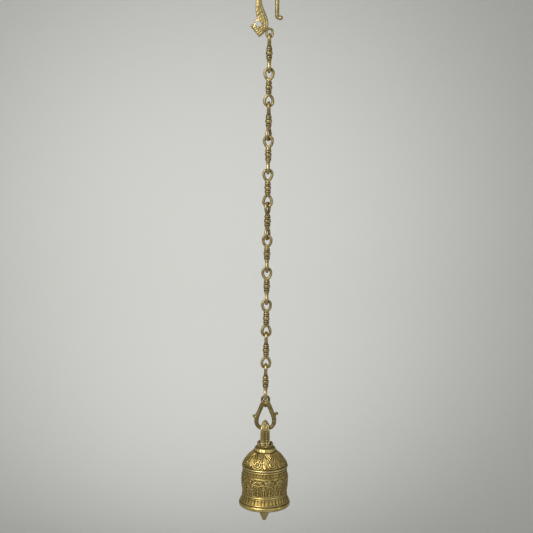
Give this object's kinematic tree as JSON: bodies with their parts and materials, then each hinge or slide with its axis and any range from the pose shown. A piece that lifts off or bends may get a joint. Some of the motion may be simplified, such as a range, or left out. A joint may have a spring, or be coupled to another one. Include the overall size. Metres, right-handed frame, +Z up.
{
  "type": "hanging temple bell",
  "caption": "Cast brass hanging bell with a clapper, on a chain of baluster links with a lyre stirrup and a curled hook.",
  "frame": {"origin": "centre of the seat under the hook's arch, where the bell hangs from a bar", "axes": "+Z up along the chain, +X along the hook's face towards its free rod, -Y towards a viewer who faces the hook"},
  "size_m": [0.1008, 0.1008, 1.0251],
  "materials": {
    "antique_brass": "cast brass with a brown-olive patina in its hollows and rubbed high spots",
    "dull_brass": "unpolished brass, tarnished",
    "clapper_brass": "cast brass, brown patina, rubbed where it strikes"
  },
  "bodies": {
    "hook": {"hook": "antique_brass"},
    "link_01": {"chain_link_01": "antique_brass"},
    "link_02": {"chain_link_02": "antique_brass"},
    "link_03": {"chain_link_03": "antique_brass"},
    "link_04": {"chain_link_04": "antique_brass"},
    "link_05": {"chain_link_05": "antique_brass"},
    "link_06": {"chain_link_06": "antique_brass"},
    "link_07": {"chain_link_07": "antique_brass"},
    "link_08": {"chain_link_08": "antique_brass"},
    "link_09": {"chain_link_09": "antique_brass"},
    "link_10": {"chain_link_10": "antique_brass"},
    "link_11": {"chain_link_11": "antique_brass"},
    "stirrup": {"stirrup": "antique_brass"},
    "bell": {"crown_loop": "antique_brass", "bell_shell": "antique_brass", "crown_washer": "dull_brass", "crown_nut": "dull_brass"},
    "clapper_hanger": {"clapper_hanger": "dull_brass"},
    "clapper": {"clapper": "clapper_brass"}
  },
  "joints": [
    {"name": "link_01_swing", "type": "hinge", "parent": "hook", "child": "link_01", "pos_m": [0, 0, -0.0834], "axis": [-1, 0, 0], "range_deg": [-100, 100]},
    {"name": "link_02_swing", "type": "hinge", "parent": "link_01", "child": "link_02", "pos_m": [0, 0, -0.1464], "axis": [0, -1, 0], "range_deg": [-100, 100]},
    {"name": "link_03_swing", "type": "hinge", "parent": "link_02", "child": "link_03", "pos_m": [0, 0, -0.2089], "axis": [1, 0, 0], "range_deg": [-100, 100]},
    {"name": "link_04_swing", "type": "hinge", "parent": "link_03", "child": "link_04", "pos_m": [0, 0, -0.2714], "axis": [-0.4695, -0.8829, 0], "range_deg": [-100, 100]},
    {"name": "link_05_swing", "type": "hinge", "parent": "link_04", "child": "link_05", "pos_m": [0, 0, -0.3339], "axis": [0, 1, 0], "range_deg": [-100, 100]},
    {"name": "link_06_swing", "type": "hinge", "parent": "link_05", "child": "link_06", "pos_m": [0, 0, -0.3964], "axis": [-0.9781, 0.2079, 0], "range_deg": [-100, 100]},
    {"name": "link_07_swing", "type": "hinge", "parent": "link_06", "child": "link_07", "pos_m": [0, 0, -0.4589], "axis": [-0.4695, -0.8829, 0], "range_deg": [-100, 100]},
    {"name": "link_08_swing", "type": "hinge", "parent": "link_07", "child": "link_08", "pos_m": [0, 0, -0.5214], "axis": [0, 1, 0], "range_deg": [-100, 100]},
    {"name": "link_09_swing", "type": "hinge", "parent": "link_08", "child": "link_09", "pos_m": [0, 0, -0.5839], "axis": [0, -1, 0], "range_deg": [-100, 100]},
    {"name": "link_10_swing", "type": "hinge", "parent": "link_09", "child": "link_10", "pos_m": [0, 0, -0.6464], "axis": [1, 0, 0], "range_deg": [-100, 100]},
    {"name": "link_11_swing", "type": "hinge", "parent": "link_10", "child": "link_11", "pos_m": [0, 0, -0.7089], "axis": [-1, 0, 0], "range_deg": [-100, 100]},
    {"name": "stirrup_swing", "type": "hinge", "parent": "link_11", "child": "stirrup", "pos_m": [0, 0, -0.7714], "axis": [0, 1, 0], "range_deg": [-100, 100]},
    {"name": "bell_swing", "type": "hinge", "parent": "stirrup", "child": "bell", "pos_m": [0, 0, -0.8302], "axis": [1, 0, 0], "range_deg": [-100, 100]},
    {"name": "hanger_swing", "type": "hinge", "parent": "bell", "child": "clapper_hanger", "pos_m": [0, 0, -0.8909], "axis": [1, 0, 0], "range_deg": [-18, 18]},
    {"name": "clapper_swing", "type": "hinge", "parent": "clapper_hanger", "child": "clapper", "pos_m": [0, 0, -0.8974], "axis": [0, 1, 0], "range_deg": [-8, 8]}
  ]
}
